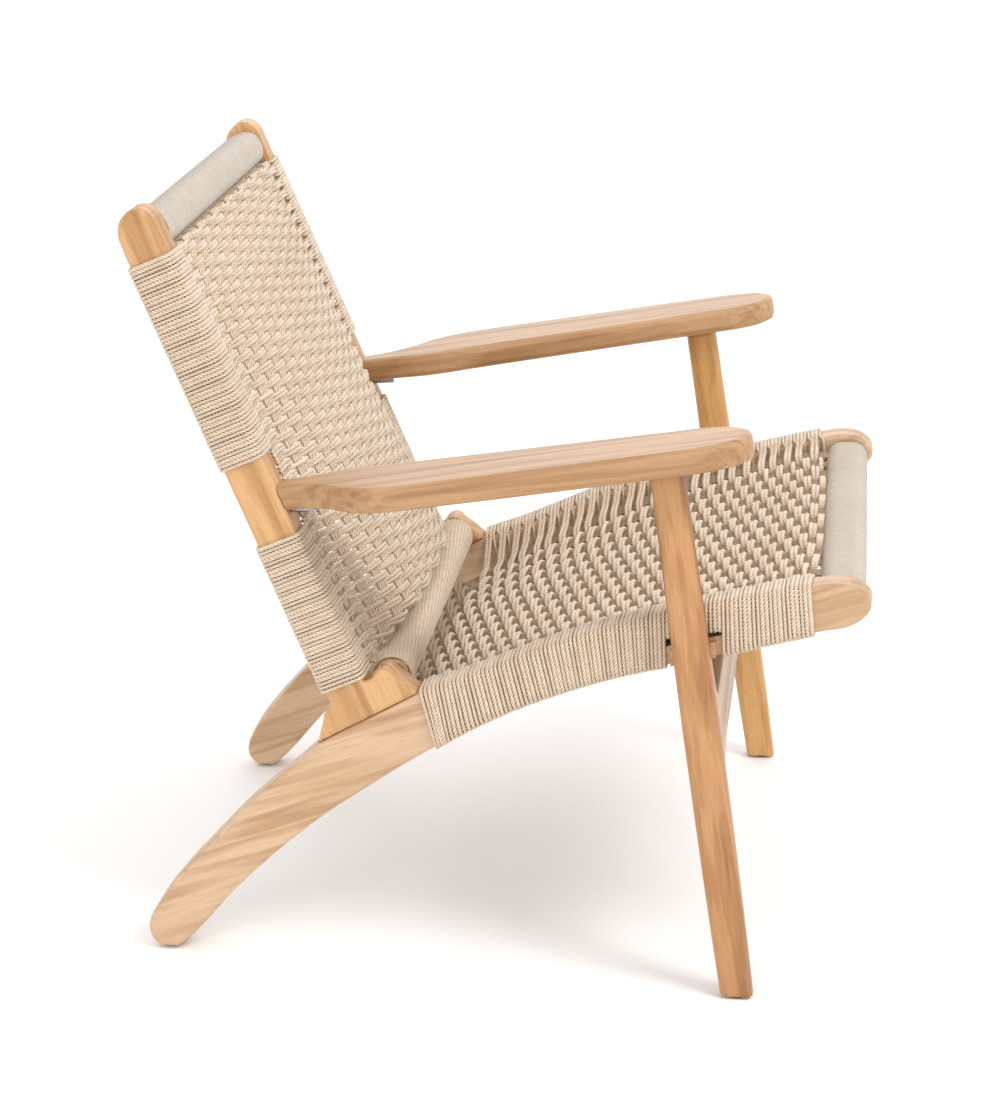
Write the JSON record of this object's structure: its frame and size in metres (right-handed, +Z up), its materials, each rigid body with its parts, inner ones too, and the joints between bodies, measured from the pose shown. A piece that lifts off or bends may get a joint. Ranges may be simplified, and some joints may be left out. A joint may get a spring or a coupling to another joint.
{
  "type": "lounge armchair",
  "caption": "Low lounge armchair with a solid-wood frame, flat paddle armrests, sabre rear legs and a woven paper-cord seat and back.",
  "frame": {"origin": "on the floor under the middle of the chair", "axes": "+X to the sitter's left, -Y to the front, +Z up"},
  "size_m": [0.7086, 0.7009, 0.732],
  "materials": {
    "wood": "clear satin lacquer on light hardwood with a straight grain",
    "end_wood": "bare hardwood dowels and blocks",
    "paper_cord": "natural three-ply twisted paper cord, matt",
    "cream_cord": "pale natural twisted paper cord, matt",
    "steel": "zinc-plated screws",
    "nylon": "dark nylon glides"
  },
  "bodies": {
    "root": {"armrest_left": "wood", "armrest_right": "wood", "armrest_screw_left": "steel", "armrest_screw_right": "steel", "back_bottom_rail": "wood", "back_bottom_wrap": "paper_cord", "back_stile_left": "wood", "back_stile_right": "wood", "crest_rail": "wood", "crest_wrap": "cream_cord", "foot_glide_front_left": "nylon", "foot_glide_front_right": "nylon", "foot_glide_rear_left": "nylon", "foot_glide_rear_right": "nylon", "front_leg_left": "wood", "front_leg_right": "wood", "front_rail_wrap": "cream_cord", "front_stretcher": "wood", "leg_dowel_left": "end_wood", "leg_dowel_right": "end_wood", "leg_screw_left_1": "steel", "leg_screw_left_2": "steel", "leg_screw_right_1": "steel", "leg_screw_right_2": "steel", "leg_spacer_left": "end_wood", "leg_spacer_right": "end_wood", "rear_rail_wrap": "paper_cord", "seat_front_rail": "wood", "seat_rear_rail": "wood", "side_rail_left": "wood", "side_rail_right": "wood", "side_wrap_front_left": "paper_cord", "side_wrap_front_right": "paper_cord", "side_wrap_leg_left": "paper_cord", "side_wrap_leg_right": "paper_cord", "side_wrap_rear_left": "paper_cord", "side_wrap_rear_right": "paper_cord", "stile_dowel_left_1": "end_wood", "stile_dowel_left_2": "end_wood", "stile_dowel_right_1": "end_wood", "stile_dowel_right_2": "end_wood", "stile_wrap_lower_left": "paper_cord", "stile_wrap_lower_right": "paper_cord", "stile_wrap_upper_left": "paper_cord", "stile_wrap_upper_right": "paper_cord", "stretcher_dowel_left_1": "end_wood", "stretcher_dowel_left_2": "end_wood", "stretcher_dowel_right_1": "end_wood", "stretcher_dowel_right_2": "end_wood", "woven_back": "paper_cord", "woven_seat": "paper_cord"}
  },
  "joints": []
}
